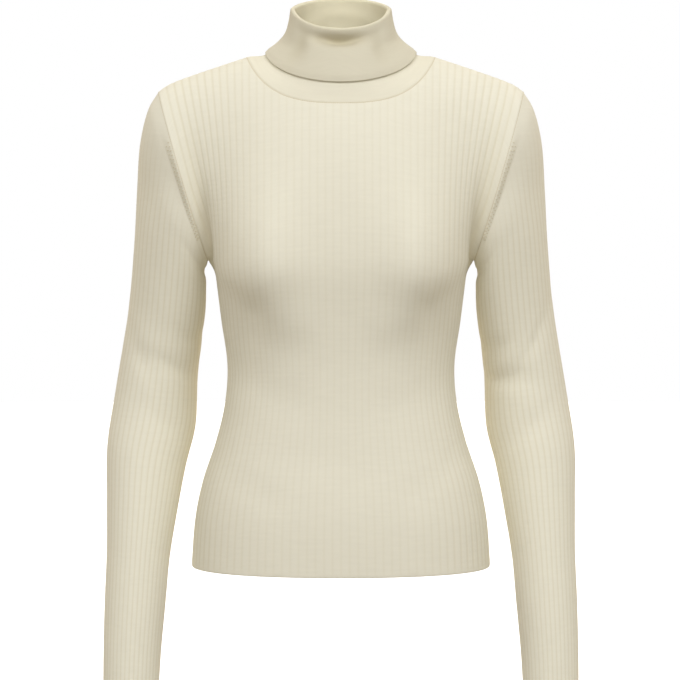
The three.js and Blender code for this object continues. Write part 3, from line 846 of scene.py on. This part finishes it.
# Painted bounce light: the inside of the neck is painted warmer and lighter, fading over the fold, and the
# creases of the outer layer a little warmer by their depth.
painted_warm_bounce = np.zeros((2, *line.shape[:2]))
painted_warm_bounce[1, :len(hidden)] = 1
painted_warm_bounce[1, len(hidden):len(hidden) + len(over)] = np.linspace(1, 0.2, len(over))[:, None]
painted_warm_bounce[1, len(hidden) + len(over):] = -collar_creases(angle, h)[:-1][::-1] / 20
tone(knit_collar, "painted_warm_bounce", painted_warm_bounce)
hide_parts("collar")

# %% [markdown]
# ## Seams
# The pieces are linked: a chain of loops joins the last stitches of one to those of the next. On
# the outside it shows as a fine cord sunk into the join. It is a round thread carried along
# each join, a little thicker at each loop, which also closes the gap between the solids.

# %% Linking
LINK_PITCH = 1.9

yarn_material, yarn_output = empty_material("wool-blend linking yarn, washed")
tree = yarn_material.node_tree
spot = add(tree, "TexCoord").outputs["Object"]
fibres = add(tree, "TexNoise", {"Vector": spot, "Scale": 900.0, "Detail": 2.0}).outputs[0]
shade = add(tree, "Mix", {"Factor": fibres, "A": colour("#D2C8AE"), "B": colour("#E4DCC6")}, data_type="RGBA")
relief = add(tree, "Bump", {"Strength": 0.4, "Distance": 0.0003, "Height": fibres}).outputs[0]
cloth = add(tree, "BsdfPrincipled", {
    "Base Color": shade.outputs["Result"],
    "Normal": relief,
    "Roughness": 0.92,
    "Specular IOR Level": 0.2,
    "Sheen Weight": 0.12,
    "Sheen Roughness": 0.45,
})
tree.links.new(cloth.outputs[0], yarn_output.inputs["Surface"])


def link(name, path, up, radius, closed=False):
    """A linked seam: radius (1 + 0.18 cos) round a path, with one wave for each loop."""
    step = LINK_PITCH / 3
    both = np.hstack([path, up])
    ring = np.vstack([both, both[:1]]) if closed else both
    length = np.append(0, np.cumsum(np.linalg.norm(np.diff(ring[:, :3], axis=0), axis=1)))
    wanted = np.linspace(0, length[-1], int(length[-1] / step) + 1)
    wanted = wanted[:-1] if closed else wanted
    made = np.stack([np.interp(wanted, length, ring[:, i]) for i in range(6)], -1)
    size = radius * (1 + 0.18 * np.cos(2 * np.pi * np.arange(len(made)) / 3))
    piece = carried(name, made[:, :3], unit(made[:, 3:]), size, closed, yarn_material)
    return piece


neck_path = seam_points[0] - seam_cloth[0] * 0.5 + seam_inward[0] * NECK_SEAM_GAP * 0.45
link("seam_neck", neck_path, seam_cloth[0], 0.75, closed=True)
turns = np.linspace(0, 2 * np.pi, 241)[:-1]
oval = sleeve_surface(turns[None], np.zeros((1, 1)))[0] - INTO_SLEEVE * SEAM_GAP / 2
radial = armhole_facing(turns, 0)
for side_name, arm in (("left", 1), ("right", -1)):
    mirror = np.array([arm, 1, 1])
    link(f"seam_armhole_{side_name}", (oval - radial * 0.5) * mirror, radial * mirror, 0.62, closed=True)
    edge_v = np.linspace(0.003, 0.995, 120)[:, None]
    edge = body_surface(FRONT, np.array([[float(arm)]]), edge_v)[:, 0] * [1, 0, 1]
    aside = np.tile([float(arm), 0, 0], (len(edge), 1))
    link(f"seam_side_{side_name}", edge - aside * 0.5, aside, 0.6)
    ridge_u = np.linspace(NECK_HALF / SHOULDER_TIP[0] * 1.004, 0.998, 80)[None] * arm
    ridge = body_surface(FRONT, ridge_u, np.array([[2.0]]))[0] * [1, 0, 1]
    above = body_facing(FRONT, ridge_u, np.array([[2.0]]))[0] * [1, 0, 1]
    link(f"seam_shoulder_{side_name}", ridge - unit(above) * 0.5, unit(above), 0.6)

# %% [markdown]
# ## Fashioning marks
# The sleeve is shaped while it is knitted: at every other row a few stitches are moved inwards,
# and each move leaves a small raised stitch. They show as two rows of dots beside the armhole
# seam, on the front and on the back. Each is an oval bead half sunk in the cloth.


# %% Marks
def beads(name, centres, along, up, size, material):
    """Ovals of size (length, width, height) at each centre: 8 round and 4 over, as one mesh."""
    beside = unit(np.cross(up, along))
    along = np.cross(beside, up)
    lat = np.linspace(-np.pi / 2, np.pi / 2, 6)[1:-1]
    lon = np.linspace(0, 2 * np.pi, 9)[:-1]
    ring = np.stack([
        (np.cos(lat)[:, None] * np.cos(lon)).ravel(),
        (np.cos(lat)[:, None] * np.sin(lon)).ravel(),
        np.repeat(np.sin(lat), 8),
    ], -1)
    unit_bead = np.vstack([ring, [[0, 0, -1], [0, 0, 1]]]) * size
    axes = np.stack([along, beside, up], 1)
    points = centres[:, None] + unit_bead @ axes
    grid = np.arange(32).reshape(4, 8)
    grid = np.hstack([grid, grid[:, :1]])
    quads = np.stack([grid[:-1, :-1], grid[:-1, 1:], grid[1:, 1:], grid[1:, :-1]], -1).reshape(-1, 4).tolist()
    caps = [[32, grid[0, i + 1], grid[0, i]] for i in range(8)]
    caps += [[33, grid[3, i], grid[3, i + 1]] for i in range(8)]
    count = len(unit_bead)
    faces = [[int(n) + count * k for n in face] for k in range(len(centres)) for face in quads + caps]
    return as_piece(name, points, faces, material)


MARK_ROWS = (0.20, 0.47)
mark_angles = np.linspace(0.78, 2.0, 24)
for side_name, arm in (("left", 1), ("right", -1)):
    mirror = np.array([arm, 1, 1])
    around = np.concatenate([mark_angles, 2 * np.pi - mark_angles])
    spots, tangents, ups = [], [], []
    for place in MARK_ROWS:
        at = np.full((1, 1), place)
        here = sleeve_surface(around[None], at)[0]
        ahead = sleeve_surface(around[None] + 0.01, at)[0]
        above = sleeve_surface(around[None], at - 0.02)[0]
        up = unit(np.cross(ahead - here, above - here))
        spots.append(here + up * sleeve_fold(arm, around, at[0], here[:, 2])[:, None])
        tangents.append(unit(ahead - here))
        ups.append(up)
    beads(
        f"fashioning_{side_name}", np.concatenate(spots) * mirror, np.concatenate(tangents) * mirror,
        np.concatenate(ups) * mirror, (0.75, 1.25, 0.55), yarn_material,
    )
